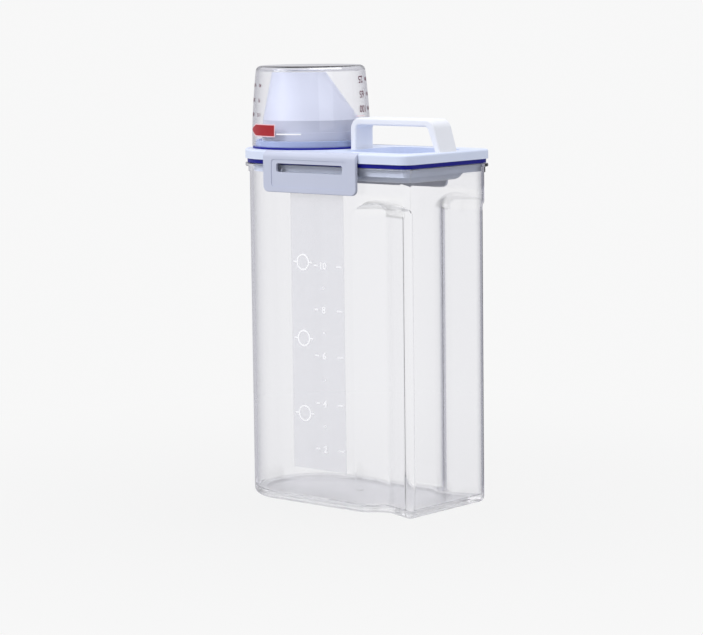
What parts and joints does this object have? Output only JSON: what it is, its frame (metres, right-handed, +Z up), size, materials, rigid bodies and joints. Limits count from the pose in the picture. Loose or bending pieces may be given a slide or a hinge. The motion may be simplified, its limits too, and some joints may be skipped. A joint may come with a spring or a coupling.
{
  "type": "rice storage container",
  "caption": "Clear canister for rice with a grip waist, level scale, latched lid with strap handle and finger well, and an upturned measuring cup over a leaning pouring spout.",
  "frame": {"origin": "middle of the footprint, on the surface that the canister stands on", "axes": "+Z up, +X along the long side towards the handle end, -Y the front with the level scale"},
  "size_m": [0.1542, 0.091, 0.2774],
  "materials": {
    "clear_canister": "clear moulded plastic",
    "clear_cup": "clear moulded plastic",
    "white_lid": "satin moulded plastic",
    "white_latch": "satin moulded plastic",
    "milky_spout": "translucent moulded plastic",
    "blue_seal": "soft silicone",
    "tinted_film": "printed film"
  },
  "bodies": {
    "canister": {"body": "clear_canister", "scale_strip": "tinted_film"},
    "lid": {"lid": "white_lid", "lid_gasket": "blue_seal", "handle": "white_lid", "pour_spout": "milky_spout", "spout_gasket": "blue_seal"},
    "cup": {"measuring_cup": "clear_cup"},
    "front_latch": {"front_latch": "white_latch"},
    "rear_latch": {"rear_latch": "white_latch"}
  },
  "joints": [
    {"name": "lid_lift", "type": "slide", "parent": "canister", "child": "lid", "axis": [0, 0, 1], "range_m": [0, 0.03]},
    {"name": "cup_lift", "type": "slide", "parent": "lid", "child": "cup", "axis": [0, 0, 1], "range_m": [0, 0.06]},
    {"name": "front_latch_swing", "type": "hinge", "parent": "lid", "child": "front_latch", "pos_m": [0, -0.0414, 0.2209], "axis": [-1, 0, 0], "range_deg": [0, 110]},
    {"name": "rear_latch_swing", "type": "hinge", "parent": "lid", "child": "rear_latch", "pos_m": [0, 0.0414, 0.2209], "axis": [1, 0, 0], "range_deg": [0, 110]}
  ]
}
